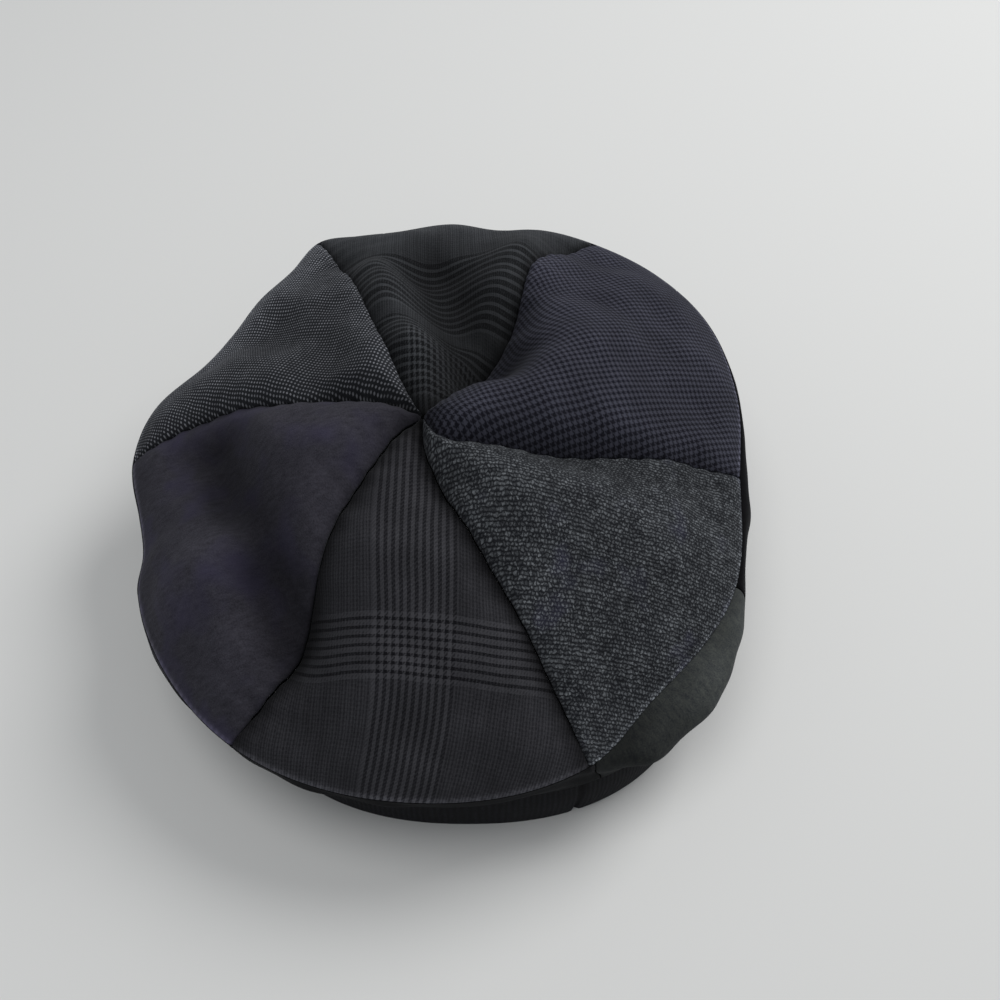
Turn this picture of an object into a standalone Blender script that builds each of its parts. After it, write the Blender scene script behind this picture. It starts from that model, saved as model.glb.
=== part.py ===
"""Patchwork tam cap: six wedge panels meet at a hub, side pieces run in under them to a headband."""

import math

import bmesh
import bpy
from mathutils import Vector

# Driving sizes, in metres. X runs left to right, Y from the front to the back, Z up.
BAND_HALF_WIDTH = 0.1000
BAND_HALF_DEPTH = 0.0825
BAND_HEIGHT = 0.0340
BAND_WALL = 0.0025
CROWN_REACH = 0.1400
CROWN_HEIGHT = 0.1080
HUB_LEFT_OF_BAND = 0.0175
HUB_BEHIND_BAND = 0.0465
CLOTH = 0.0020
SEAM_GAP = 0.0004
HUB_OPENING = 0.0030
PUFF = 0.0080
FOLD_DEPTH = 0.0080
SEAM_DIP = 0.0032
SEAM_DIP_WIDTH = 0.0060
EDGE_ROLL = 0.0030
SIDE_BULGE = 0.0170
SIDE_DROP = 0.0140

# Shape shares that hold for any size of cap.
DOME_POWER = 1.8
OVAL_POWER = 2.3
ROLL_START = 0.90
CORE_DEPTH_SHARE = 1.10
BELLY_SHARE = 0.35
TURN_SHARE = 0.40
BLEND_SHARE = 0.30
DROP_ROOM_SHARE = 0.60
SEAM_HOLD_SHARE = 0.75

# Mesh fineness.
GORE_ACROSS = 16
GORE_ALONG = 16
SIDE_AROUND = 10
SIDE_DOWN = 10
BAND_STEPS = 72
BAND_ROWS = 3
SLOPE_STEP_DEG = 1.0
SLOPE_STEP_SHARE = 0.01

# The widest edge seen from above: direction from the hub, reach as a share of CROWN_REACH and
# height as a share of CROWN_HEIGHT. The front hangs low and the back stands high.
HEM = [
    # direction_deg, reach, height
    (-2, 0.945, 0.634),
    (16, 1.010, 0.680),
    (32, 1.065, 0.722),
    (45, 1.065, 0.754),
    (58, 1.040, 0.778),
    (68, 1.028, 0.774),
    (77, 0.990, 0.762),
    (86, 0.993, 0.768),
    (97, 0.975, 0.750),
    (105, 0.982, 0.747),
    (113, 0.997, 0.745),
    (121, 0.925, 0.722),
    (130, 0.890, 0.696),
    (140, 0.845, 0.668),
    (150, 0.847, 0.636),
    (163, 0.915, 0.595),
    (175, 0.920, 0.560),
    (187, 0.874, 0.543),
    (196, 0.866, 0.532),
    (204, 0.905, 0.522),
    (216, 0.930, 0.506),
    (238, 0.957, 0.478),
    (267, 0.967, 0.490),
    (297, 0.983, 0.505),
    (312, 0.940, 0.535),
    (335, 0.965, 0.588),
]

# Panel seams: the direction of each corner, and how far the seam swings from it on the way out.
SEAM_STOPS = (0.0, 0.1, 0.2, 0.4, 0.7, 1.0)
SEAMS = {
    # name: (corner_deg, swing at each of SEAM_STOPS in degrees)
    "right": (-1, (-70, -56, -27, -11, -2, 0)),
    "back_right": (58, (-12, -8, -1, -2, 5, 0)),
    "back_left": (113, (8, 6, 4, 1, -1, 0)),
    "left": (175, (-24, -24, -21, -12, -9, 0)),
    "front_left": (238, (-25, -18, -10, -5, 3, 0)),
    "front_right": (297, (-27, -24, -15, -5, -1, 0)),
}

# Wedge panels, anticlockwise from the right: name, first and last seam, share of PUFF, share of
# SEAM_DIP_WIDTH over which the cloth rolls down into its seams, colour.
GORES = [
    ("gore_right_houndstooth", "right", "back_right", 1.50, 1.0, (0.020, 0.020, 0.032)),
    ("gore_back_plaid", "back_right", "back_left", 0.40, 1.2, (0.018, 0.019, 0.019)),
    ("gore_left_birdseye", "back_left", "left", 0.70, 0.9, (0.055, 0.058, 0.062)),
    ("gore_left_flannel", "left", "front_left", 1.10, 0.9, (0.024, 0.023, 0.032)),
    ("gore_front_plaid", "front_left", "front_right", 0.50, 1.8, (0.019, 0.019, 0.021)),
    ("gore_right_tweed", "front_right", "right", 1.00, 0.9, (0.045, 0.048, 0.050)),
]

# Ridges and valleys of the top: start and end as shares of CROWN_REACH from the hub, depth as a
# share of FOLD_DEPTH (a ridge is positive) and width as a share of CROWN_REACH.
FOLDS = [
    # start_x, start_y, end_x, end_y, depth, width
    (0.15, 0.22, 0.02, 0.62, -1.90, 0.12),
    (-0.07, 0.24, -0.17, 0.60, 1.20, 0.10),
    (0.22, 0.22, 0.28, 0.44, -1.10, 0.09),
    (0.30, 0.50, 0.33, 0.74, 0.80, 0.09),
    (0.32, -0.12, 0.78, -0.08, -0.60, 0.07),
    (-0.62, -0.01, -0.34, -0.58, -1.70, 0.10),
    (-0.50, 0.44, -0.28, 0.22, -0.70, 0.10),
    (-0.54, -0.34, -0.72, -0.46, 0.60, 0.10),
]

# The side under the widest edge: how far it stands out beyond the edge and how far down that is.
SIDE = [
    # direction_deg, bulge as a share of SIDE_BULGE, drop as a share of SIDE_DROP
    (8, 0.20, 0.80),
    (30, 0.08, 0.50),
    (90, 0.08, 0.50),
    (180, 0.06, 0.40),
    (205, 0.04, 0.30),
    (230, 0.00, 0.28),
    (290, 0.00, 0.28),
    (298, 0.02, 0.28),
    (302, 0.30, 0.45),
    (306, 0.75, 0.65),
    (312, 0.94, 0.97),
    (320, 1.00, 1.00),
    (332, 0.50, 1.00),
    (345, 0.22, 0.95),
    (355, 0.40, 0.95),
]

# Side pieces, anticlockwise: name, first and last direction of the piece, colour.
SIDES = [
    ("side_right_black", 337, 400, (0.010, 0.010, 0.013)),
    ("side_back_right", 40, 100, (0.014, 0.014, 0.017)),
    ("side_back_left", 100, 160, (0.014, 0.014, 0.017)),
    ("side_left", 160, 222, (0.014, 0.014, 0.017)),
    ("side_front_left", 222, 298, (0.010, 0.010, 0.013)),
    ("side_front_green", 298, 337, (0.036, 0.039, 0.036)),
]
BAND_COLOUR = (0.008, 0.008, 0.010)

UP = Vector((0.0, 0.0, 1.0))


def smooth_between(stops, values, at):
    """Cubic through the values at the stops, with slopes taken from the neighbours."""
    last = len(stops) - 1
    k = max(i for i in range(last) if stops[i] <= at or i == 0)
    step = stops[k + 1] - stops[k]
    t = min(max((at - stops[k]) / step, 0.0), 1.0)

    def slope(i):
        low = max(i - 1, 0)
        high = min(i + 1, last)
        return (values[high] - values[low]) / (stops[high] - stops[low])

    a, b = values[k], values[k + 1]
    sa, sb = slope(k) * step, slope(k + 1) * step
    return (a * (1 + 2 * t) * (1 - t) ** 2 + sa * t * (1 - t) ** 2
            + b * t * t * (3 - 2 * t) + sb * t * t * (t - 1))


def round_the_cap(table, column, direction):
    """Read one column of a table of directions, joined up into a full turn."""
    rows = table[-2:] + table + table[:2]
    turns = [-360.0] * 2 + [0.0] * len(table) + [360.0] * 2
    stops = [row[0] + turn for row, turn in zip(rows, turns)]
    return smooth_between(stops, [row[column] for row in rows], direction % 360.0)


def ease(t):
    t = min(max(t, 0.0), 1.0)
    return t * t * (3 - 2 * t)


def hub_point():
    return Vector((-HUB_LEFT_OF_BAND, HUB_BEHIND_BAND, CROWN_HEIGHT))


def outward(direction):
    return Vector((math.cos(math.radians(direction)), math.sin(math.radians(direction)), 0.0))


def hem_reach(direction):
    return CROWN_REACH * round_the_cap(HEM, 1, direction)


def hem_height(direction):
    return CROWN_HEIGHT * round_the_cap(HEM, 2, direction)


def fold_lift(x, y):
    """Height that the ridges and valleys add at a place on the top."""
    lift = 0.0
    for start_x, start_y, end_x, end_y, depth, width in FOLDS:
        along = Vector((end_x - start_x, end_y - start_y))
        place = Vector((x / CROWN_REACH - start_x, y / CROWN_REACH - start_y))
        share = min(max(place.dot(along) / along.length_squared, 0.0), 1.0)
        away = (place - along * share).length / width
        lift += FOLD_DEPTH * depth * math.exp(-away * away)
    return lift


def seam_direction(seam, share):
    corner, swings = SEAMS[seam]
    return corner + smooth_between(SEAM_STOPS, swings, share)


def seam_directions(gore, share):
    """The two seam directions of a panel at a share of the way out, rising anticlockwise."""
    first, last = seam_direction(gore[1], share), seam_direction(gore[2], share)
    while last < first:
        last += 360.0
    return first, last


def crown_point(gore, across, share):
    """A place on the outer face of the top: share of the way across a panel and of the way out."""
    first, last = seam_directions(gore, share)
    corner_first, corner_last = seam_directions(gore, 1.0)
    direction = first + (last - first) * across
    corner = corner_first + (corner_last - corner_first) * across
    reach = hem_reach(corner) * share
    flat = outward(direction) * reach
    hem = hem_height(corner)
    height = hem + (CROWN_HEIGHT - hem) * (1 - share ** DOME_POWER)
    open_share = 1 - ease((share - ROLL_START) / (1 - ROLL_START))
    puff = PUFF * gore[3] * math.sin(math.pi * across) * math.sin(math.pi * share ** 0.8)
    to_seam = min(across, 1 - across) * math.radians(last - first) * reach
    dip = SEAM_DIP * math.exp(-(to_seam / (SEAM_DIP_WIDTH * gore[4])) ** 2)
    roll = EDGE_ROLL * max(0.0, (share - ROLL_START) / (1 - ROLL_START)) ** 2
    height += puff + (fold_lift(flat.x, flat.y) - dip) * open_share + EDGE_ROLL - roll
    return hub_point() + flat + UP * (height - CROWN_HEIGHT - EDGE_ROLL)


def core_way(point):
    """Direction through the cloth of the top, the same on both sides of every seam."""
    hub = hub_point()
    core = Vector((hub.x, hub.y, -CROWN_HEIGHT * CORE_DEPTH_SHARE))
    return (point - core).normalized()


def hem_point(direction):
    hub = hub_point()
    flat = Vector((hub.x, hub.y, 0.0)) + outward(direction) * hem_reach(direction)
    return flat + UP * (hem_height(direction) - EDGE_ROLL)


def band_point(angle, height, inset=0.0):
    """A place on the band: an oval a little squarer than an ellipse, by its own angle."""
    over, back = math.cos(angle), math.sin(angle)
    x = math.copysign((BAND_HALF_WIDTH - inset) * abs(over) ** (2 / OVAL_POWER), over)
    y = math.copysign((BAND_HALF_DEPTH - inset) * abs(back) ** (2 / OVAL_POWER), back)
    return Vector((x, y, height))


def side_point(direction, share):
    """A place on the outer face of the side, from the widest edge in and down to the band."""
    hem = hem_point(direction)
    way = core_way(hem)
    level = Vector((way.x, way.y, 0.0)).normalized()
    below = level * way.z - UP * Vector((way.x, way.y)).length
    start = hem + below * SEAM_GAP
    angle = math.atan2(hem.y / BAND_HALF_DEPTH, hem.x / BAND_HALF_WIDTH)
    foot = band_point(angle, BAND_HEIGHT + SEAM_GAP)
    bulge = SIDE_BULGE * round_the_cap(SIDE, 1, direction)
    room = start.z - foot.z
    drop = min(SIDE_DROP * round_the_cap(SIDE, 2, direction), room * DROP_ROOM_SHARE)
    if share < BELLY_SHARE:
        turn = 0.5 * math.pi * share / BELLY_SHARE
        return start + level * bulge * math.sin(turn) - UP * drop * (1 - math.cos(turn))
    t = (share - BELLY_SHARE) / (1 - BELLY_SHARE)
    belly = start + level * bulge - UP * drop
    rise = UP * (belly.z - foot.z) * TURN_SHARE
    return (belly * (1 - t) ** 3 + (belly - rise) * 3 * t * (1 - t) ** 2
            + (foot + rise) * 3 * t * t * (1 - t) + foot * t ** 3)


def side_way(direction, share):
    """Direction through the cloth of the side: the top's at the edge, its own further down."""
    turn, step = SLOPE_STEP_DEG, SLOPE_STEP_SHARE
    a = side_point(direction + turn, share) - side_point(direction - turn, share)
    b = side_point(direction, min(share + step, 1.0)) - side_point(direction, max(share - step, 0.0))
    own = b.cross(a).normalized()
    if own.dot(outward(direction)) < 0 and share > BELLY_SHARE:
        own = -own if own.z > 0 else own
    weight = ease(share / BLEND_SHARE)
    return (core_way(hem_point(direction)) * (1 - weight) + own * weight).normalized()


def new_material(name, colour):
    material = bpy.data.materials.new(name)
    material.use_nodes = True
    shader = material.node_tree.nodes["Principled BSDF"]
    shader.inputs["Base Color"].default_value = (*colour, 1.0)
    shader.inputs["Roughness"].default_value = 0.9
    return material


def new_piece(name, bm, colour, collection):
    """Turn a closed body into a named, smooth-shaded object with its own material."""
    bmesh.ops.recalc_face_normals(bm, faces=bm.faces)
    mesh = bpy.data.meshes.new(name)
    bm.to_mesh(mesh)
    bm.free()
    for polygon in mesh.polygons:
        polygon.use_smooth = True
    piece = bpy.data.objects.new(name, mesh)
    mesh.materials.append(new_material(name + "_cloth", colour))
    collection.objects.link(piece)
    return piece


def cloth_grid(columns, rows, place, way):
    """A grid of cloth laid out by place(), and drawn through its thickness along way()."""
    bm = bmesh.new()
    bmesh.ops.create_grid(bm, x_segments=columns, y_segments=rows, size=0.5)
    shares = [(v, v.co.x + 0.5, v.co.y + 0.5) for v in bm.verts]
    thickness = {}
    for vert, u, s in shares:
        vert.co = place(u, s)
        thickness[vert.index] = way(u, s) * CLOTH
    bm.verts.index_update()
    outer = list(bm.verts)
    ways = [thickness[v.index] for v in outer]
    skin = bmesh.ops.extrude_face_region(bm, geom=bm.faces[:], use_keep_orig=True)
    inner = [item for item in skin["geom"] if isinstance(item, bmesh.types.BMVert)]
    pairs = {tuple(round(c, 7) for c in v.co): w for v, w in zip(outer, ways)}
    for vert in inner:
        vert.co -= pairs[tuple(round(c, 7) for c in vert.co)]
    return bm


def build_gore(gore, collection):
    """One wedge panel, held half a seam gap off each neighbour."""

    def shares(u, s):
        opening = HUB_OPENING / CROWN_REACH
        edge = 1 - SEAM_GAP / CROWN_REACH * 0.5
        share = opening + (edge - opening) * s
        first, last = seam_directions(gore, share)
        middle = hem_reach(0.5 * (first + last))
        margin = math.degrees(SEAM_GAP * SEAM_HOLD_SHARE / (middle * share)) / (last - first)
        return margin + (1 - 2 * margin) * u, share

    def place(u, s):
        return crown_point(gore, *shares(u, s))

    def way(u, s):
        return core_way(place(u, s))

    bm = cloth_grid(GORE_ACROSS, GORE_ALONG, place, way)
    return new_piece(gore[0], bm, gore[5], collection)


def build_side(side, collection):
    """One side piece between two cuts that run down from the widest edge."""
    name, first, last, colour = side

    def direction(u):
        margin = math.degrees(SEAM_GAP * SEAM_HOLD_SHARE / BAND_HALF_DEPTH)
        return first + margin + (last - first - 2 * margin) * u

    bm = cloth_grid(SIDE_AROUND, SIDE_DOWN, lambda u, s: side_point(direction(u), s),
                    lambda u, s: side_way(direction(u), s))
    return new_piece(name, bm, colour, collection)


def build_band(collection):
    """The headband: a flat-bottomed oval loop of doubled cloth."""
    bm = bmesh.new()
    ring = bmesh.ops.create_circle(bm, segments=BAND_STEPS, radius=1.0)["verts"]
    for vert in ring:
        angle = math.atan2(vert.co.y, vert.co.x)
        vert.co = band_point(angle, 0.0)
    edges = bm.edges[:]
    for row in range(BAND_ROWS):
        grown = bmesh.ops.extrude_edge_only(bm, edges=edges)["geom"]
        for item in grown:
            if isinstance(item, bmesh.types.BMVert):
                item.co.z += BAND_HEIGHT / BAND_ROWS
        edges = [item for item in grown if isinstance(item, bmesh.types.BMEdge)]
    piece = new_piece("headband", bm, BAND_COLOUR, collection)
    wall = piece.modifiers.new("wall", "SOLIDIFY")
    wall.thickness = BAND_WALL
    wall.offset = -1.0
    return piece


def stand_on_middle(pieces):
    """Slide the whole cap so that the middle of its footprint is over the origin."""
    places = [v.co for piece in pieces for v in piece.data.vertices]
    middle_x = 0.5 * (min(p.x for p in places) + max(p.x for p in places))
    middle_y = 0.5 * (min(p.y for p in places) + max(p.y for p in places))
    for piece in pieces:
        for vert in piece.data.vertices:
            vert.co.x -= middle_x
            vert.co.y -= middle_y
    print("band centre at", round(-middle_x, 5), round(-middle_y, 5))


def build_cap():
    for thing in list(bpy.data.objects):
        bpy.data.objects.remove(thing, do_unlink=True)
    collection = bpy.data.collections.new("patchwork_cap")
    bpy.context.scene.collection.children.link(collection)
    pieces = [build_gore(gore, collection) for gore in GORES]
    pieces += [build_side(side, collection) for side in SIDES]
    pieces.append(build_band(collection))
    stand_on_middle(pieces)


build_cap()
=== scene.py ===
# %% [markdown]
# # A patchwork tam cap
# Six wedge panels of old suiting cloth meet at a hub, plain side pieces turn in under them, and a
# black headband carries the lot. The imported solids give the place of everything. This script
# dresses them: finer cloth with turned seams, and a weave for each cloth, made from its threads.
# A simulation could drape it. Nothing here is padded, though, and each fold has a known place, so
# functions lay the cloth instead, and give the same cap on every run.

import math

import bmesh
import bpy
import numpy as np
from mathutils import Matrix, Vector


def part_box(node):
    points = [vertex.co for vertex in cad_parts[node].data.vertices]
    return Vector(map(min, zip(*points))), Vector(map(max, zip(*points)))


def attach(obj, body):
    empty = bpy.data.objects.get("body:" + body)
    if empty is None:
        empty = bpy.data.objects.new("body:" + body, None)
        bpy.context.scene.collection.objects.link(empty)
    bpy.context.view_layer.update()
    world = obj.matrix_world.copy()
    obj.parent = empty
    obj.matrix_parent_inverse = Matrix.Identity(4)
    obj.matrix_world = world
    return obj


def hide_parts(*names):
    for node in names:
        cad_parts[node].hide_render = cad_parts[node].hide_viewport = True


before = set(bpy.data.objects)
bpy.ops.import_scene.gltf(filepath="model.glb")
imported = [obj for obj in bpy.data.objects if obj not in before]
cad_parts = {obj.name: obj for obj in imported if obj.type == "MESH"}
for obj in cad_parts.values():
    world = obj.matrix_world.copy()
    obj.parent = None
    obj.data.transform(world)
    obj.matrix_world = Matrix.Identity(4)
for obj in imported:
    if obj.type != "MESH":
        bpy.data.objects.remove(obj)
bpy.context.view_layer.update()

# %% [markdown]
# ## Sizes
# All lengths are metres, and angles are degrees unless a comment says otherwise. These are the
# same driving sizes as the solids', so the fine cloth lies where they are. They could be measured
# off the solids, but a facet can't be told from a fold there. Only the places of the band and the
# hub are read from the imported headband.

# %% Driving sizes
BAND_HALF_WIDTH = 0.1000
BAND_HALF_DEPTH = 0.0825
BAND_HEIGHT = 0.0340
BAND_WALL = 0.0025
CROWN_REACH = 0.1400
CROWN_HEIGHT = 0.1080
HUB_LEFT_OF_BAND = 0.0175
HUB_BEHIND_BAND = 0.0465
CLOTH = 0.0020
PUFF = 0.0080
FOLD_DEPTH = 0.0080
EDGE_ROLL = 0.0030
SIDE_BULGE = 0.0170
SIDE_DROP = 0.0140
FOOT_GAP = 0.0003  # between the side's lower edge and the band
DOME_POWER = 1.8  # the more, the longer the top stays level before it falls
PUFF_POWER = 0.8  # the less, the nearer to the hub a panel puffs up
OVAL_POWER = 2.3  # 2 is an ellipse, and more is squarer
ROLL_START = 0.90  # share of the way out where the edge begins to roll down
CORE_DEPTH_SHARE = 1.10  # how deep the point lies that the cloth's thickness points to
BELLY_SHARE = 0.35  # share of the side's cloth that goes round its upper bend
TURN_SHARE = 0.40  # how strongly the side leaves its belly and its foot upright
DROP_ROOM = 0.6  # most of the room down to the band that the upper bend may take

band_low, band_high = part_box("headband")
BAND_X = 0.5 * (band_low[0] + band_high[0])
BAND_Y = 0.5 * (band_low[1] + band_high[1])
HUB = np.array([BAND_X - HUB_LEFT_OF_BAND, BAND_Y + HUB_BEHIND_BAND, CROWN_HEIGHT])
print("band centre", round(BAND_X, 4), round(BAND_Y, 4), "hub", HUB.round(4))

# %% [markdown]
# ## The widest edge and the seams
# From above, a slouching cap is no circle: its widest edge wanders in and out and rises to the
# back. Each seam starts at the hub, swings sideways as the cloth sags, and ends at a corner of
# the edge. Curves drawn by hand in the editor would do, but a table with a row for each place
# can be read and corrected.

# %% Tables of the edge and the seams
HEM = [
    # direction_deg, reach as a share of CROWN_REACH, height as a share of CROWN_HEIGHT
    (-2, 0.945, 0.634),
    (16, 1.010, 0.680),
    (32, 1.065, 0.722),
    (45, 1.065, 0.754),
    (58, 1.040, 0.778),
    (68, 1.028, 0.774),
    (77, 0.990, 0.762),
    (86, 0.993, 0.768),
    (97, 0.975, 0.750),
    (105, 0.982, 0.747),
    (113, 0.997, 0.745),
    (121, 0.925, 0.722),
    (130, 0.890, 0.696),
    (140, 0.845, 0.668),
    (150, 0.847, 0.636),
    (163, 0.915, 0.595),
    (175, 0.920, 0.560),
    (187, 0.874, 0.543),
    (196, 0.866, 0.532),
    (204, 0.905, 0.522),
    (216, 0.930, 0.506),
    (238, 0.957, 0.478),
    (267, 0.967, 0.490),
    (297, 0.983, 0.505),
    (312, 0.940, 0.535),
    (335, 0.965, 0.588),
]
SEAM_STOPS = (0.0, 0.1, 0.2, 0.4, 0.7, 1.0)
SEAMS = {
    # name: (corner_deg, swing in degrees at each of SEAM_STOPS, which are shares of the way out)
    "right": (-1, (-70, -56, -27, -11, -2, 0)),
    "back_right": (58, (-12, -8, -1, -2, 5, 0)),
    "back_left": (113, (8, 6, 4, 1, -1, 0)),
    "left": (175, (-24, -24, -21, -12, -9, 0)),
    "front_left": (238, (-25, -18, -10, -5, 3, 0)),
    "front_right": (297, (-27, -24, -15, -5, -1, 0)),
}
print(len(HEM), "places round the widest edge,", len(SEAMS), "seams")

# %% [markdown]
# ## Panels, folds and sides
# A seam allowance is pressed to one side, so each panel stands over its neighbour or is tucked
# under it. A fold is a soft dent or ridge along a line between two places on the top. The side
# stands out at the front right and lies flat elsewhere.

# %% Tables of the pieces and the folds
GORES = [
    # node, first seam, last seam, puff share, seam roll share, direction that the warp runs in,
    # lap at the first seam and at the last: 1 stands over the neighbour, -1 is tucked under it
    ("gore_right_houndstooth", "right", "back_right", 1.50, 1.0, 24, -0.2, 0.5),
    ("gore_back_plaid", "back_right", "back_left", 0.40, 1.2, 92, -0.8, -0.6),
    ("gore_left_birdseye", "back_left", "left", 0.70, 0.9, 150, 0.4, 0.6),
    ("gore_left_flannel", "left", "front_left", 1.10, 0.9, 195, -0.4, 0.8),
    ("gore_front_plaid", "front_left", "front_right", 0.50, 1.8, 270, -1.0, -1.0),
    ("gore_right_tweed", "front_right", "right", 1.00, 0.9, 350, 0.8, 0.2),
]
FOLDS = [
    # start_x, start_y, end_x, end_y, depth, width: depth as a share of FOLD_DEPTH, and the others
    # of CROWN_REACH
    (0.15, 0.22, 0.02, 0.62, -1.90, 0.12),
    (-0.07, 0.24, -0.17, 0.60, 1.20, 0.10),
    (0.22, 0.22, 0.28, 0.44, -1.10, 0.09),
    (0.30, 0.50, 0.33, 0.74, 0.80, 0.09),
    (0.32, -0.12, 0.78, -0.08, -0.60, 0.07),
    (-0.62, -0.01, -0.34, -0.58, -1.70, 0.10),
    (-0.50, 0.44, -0.28, 0.22, -0.70, 0.10),
    (-0.54, -0.34, -0.72, -0.46, 0.60, 0.10),
]
SIDE = [
    # direction_deg, bulge as a share of SIDE_BULGE, drop as a share of SIDE_DROP
    (8, 0.20, 0.80),
    (30, 0.08, 0.50),
    (90, 0.08, 0.50),
    (180, 0.06, 0.40),
    (205, 0.04, 0.30),
    (230, 0.00, 0.28),
    (290, 0.00, 0.28),
    (298, 0.02, 0.28),
    (302, 0.30, 0.45),
    (306, 0.75, 0.65),
    (312, 0.94, 0.97),
    (320, 1.00, 1.00),
    (332, 0.50, 1.00),
    (345, 0.22, 0.95),
    (355, 0.40, 0.95),
]
SIDES = [
    # node, first and last direction of the piece
    ("side_right_black", 337, 400),
    ("side_back_right", 40, 100),
    ("side_back_left", 100, 160),
    ("side_left", 160, 222),
    ("side_front_left", 222, 298),
    ("side_front_green", 298, 337),
]
print(len(GORES), "panels,", len(FOLDS), "folds,", len(SIDES), "side pieces")

# %% [markdown]
# ## From tables to smooth curves
# Cloth bends without corners, so a table is read through a smooth curve. A spline of degree
# three through its rows is enough, and it closes on itself round the cap. The functions take
# whole arrays of places at once, because the cloth has many.

# %% Smooth curves
def smooth_between(stops, values, at):
    """Cubic through the values at the stops, with slopes taken from the neighbours."""
    stops, values = np.asarray(stops, float), np.asarray(values, float)
    slopes = np.gradient(values, stops)
    slopes[1:-1] = (values[2:] - values[:-2]) / (stops[2:] - stops[:-2])
    k = np.clip(np.searchsorted(stops, at, side="right") - 1, 0, len(stops) - 2)
    step = stops[k + 1] - stops[k]
    t = np.clip((at - stops[k]) / step, 0, 1)
    return (values[k] * (1 + 2 * t) * (1 - t) ** 2 + slopes[k] * step * t * (1 - t) ** 2
            + values[k + 1] * t * t * (3 - 2 * t) + slopes[k + 1] * step * t * t * (t - 1))


def round_the_cap(table, column, direction):
    """A column of a table at any direction, closed smoothly from its last row to its first."""
    rows = table[-2:] + table + table[:2]
    turns = [-360.0] * 2 + [0.0] * len(table) + [360.0] * 2
    stops = [row[0] + turn for row, turn in zip(rows, turns)]
    return smooth_between(stops, [row[column] for row in rows], np.mod(direction, 360.0))


def ease(t):
    """From nought to one, slow at both ends."""
    t = np.clip(t, 0, 1)
    return t * t * (3 - 2 * t)


def nearness(distance, width):
    """One at no distance, which fades softly over a width."""
    return np.exp(-(distance / width) ** 2)


def stack(x, y, z):
    return np.stack(np.broadcast_arrays(x, y, z), axis=-1).astype(float)


def unit(v):
    return v / np.linalg.norm(v, axis=-1, keepdims=True)


def widest_edge(direction):
    """How far out and how high the widest edge lies."""
    return CROWN_REACH * round_the_cap(HEM, 1, direction), CROWN_HEIGHT * round_the_cap(HEM, 2, direction)


print("reach and height at the front", widest_edge(270))

# %% [markdown]
# ## Folds and ripples
# The slouch shows as a few long dents and ridges. Between them no cloth is flat: four weak waves
# of unlike lengths and directions, each bent by another, stop it from looking like sheet metal.
# Noise would displace it too, but waves keep to the lengths that this cloth really bends in.

# %% Folds and ripples
RIPPLE_BEND = 1.3  # how far a wave is bent, in radians
RIPPLE_BEND_LENGTHS = 2.7  # how many of its own lengths the bend is long
RIPPLE_PHASE = 2.1  # radians between one wave and the next
RIPPLES = [
    # wavelength, direction_deg, height
    (0.061, 20, 0.0009),
    (0.043, 95, 0.0008),
    (0.029, 150, 0.0005),
    (0.019, 60, 0.0003),
]


def fold_lift(x, y):
    lift = np.zeros_like(x)
    for start_x, start_y, end_x, end_y, depth, width in FOLDS:
        dx, dy = end_x - start_x, end_y - start_y
        px, py = x / CROWN_REACH - start_x, y / CROWN_REACH - start_y
        share = np.clip((px * dx + py * dy) / (dx * dx + dy * dy), 0, 1)
        lift += FOLD_DEPTH * depth * nearness(np.hypot(px - dx * share, py - dy * share), width)
    return lift


def ripple(x, y):
    lift = np.zeros_like(x)
    for number, (length, turn, height) in enumerate(RIPPLES):
        along = x * math.cos(math.radians(turn)) + y * math.sin(math.radians(turn))
        across = -x * math.sin(math.radians(turn)) + y * math.cos(math.radians(turn))
        bend = np.sin(2 * math.pi * across / (length * RIPPLE_BEND_LENGTHS) + number)
        lift += height * np.sin(2 * math.pi * along / length + RIPPLE_BEND * bend + RIPPLE_PHASE * number)
    return lift


print("ripples add up to", sum(row[2] for row in RIPPLES), "m at most")

# %% [markdown]
# ## Turned seams
# Where two panels are sewn, each edge turns down into the seam. One panel stands over the other
# in a soft roll. Painted shadow darkens the lower one along the seam, painted shade darkens each
# seam's groove, and painted light brightens the raised edge, which is also rubbed pale. The
# stitching gathers the cloth into small puckers that die away within a finger's width. No bevel
# changes so from seam to seam, so all of it is drawn from the distance to the seam, wherever that
# swings.

# %% Seams
SEAM_DIP = 0.0032  # the wide soft sag of the cloth towards a seam
SEAM_DIP_WIDTH = 0.0060
LAP_DIP = 0.65  # how much less a panel sags that stands over its neighbour
TUCK_DIP = 0.45  # and how much more one that is tucked under
TURN_WIDTH = 0.0032  # the round turn of the edge itself
TURN_DEPTH = 0.0016
LAP_TURN = 1.90  # how much deeper the upper panel's edge turns
PUCKER_DEPTH = 0.00045
PUCKER_LENGTH = 0.0085
PUCKER_FADE = 0.0100
PUCKER_WANDER = 3  # radians by which the puckers stray from an even beat
PUCKER_WANDER_LENGTH = 0.021
# painted shade in each seam's groove, painted shadow on a panel tucked under its neighbour, and painted
# light on the raised edge of the one over it, which is also rubbed pale
SEAM_SHADE = 0.12
TUCK_SHADOW = 0.52
LAP_LIGHT = 0.30
SEAM_SHADE_WIDTH = 0.0030


def seam_directions(first_seam, last_seam, share):
    """The directions of a panel's two seams, at a share of the way out from the hub."""
    ends = []
    for seam in (first_seam, last_seam):
        corner, swings = SEAMS[seam]
        ends.append(corner + smooth_between(SEAM_STOPS, swings, share))
    if SEAMS[last_seam][0] < SEAMS[first_seam][0]:
        ends[1] = ends[1] + 360.0
    return ends


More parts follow.
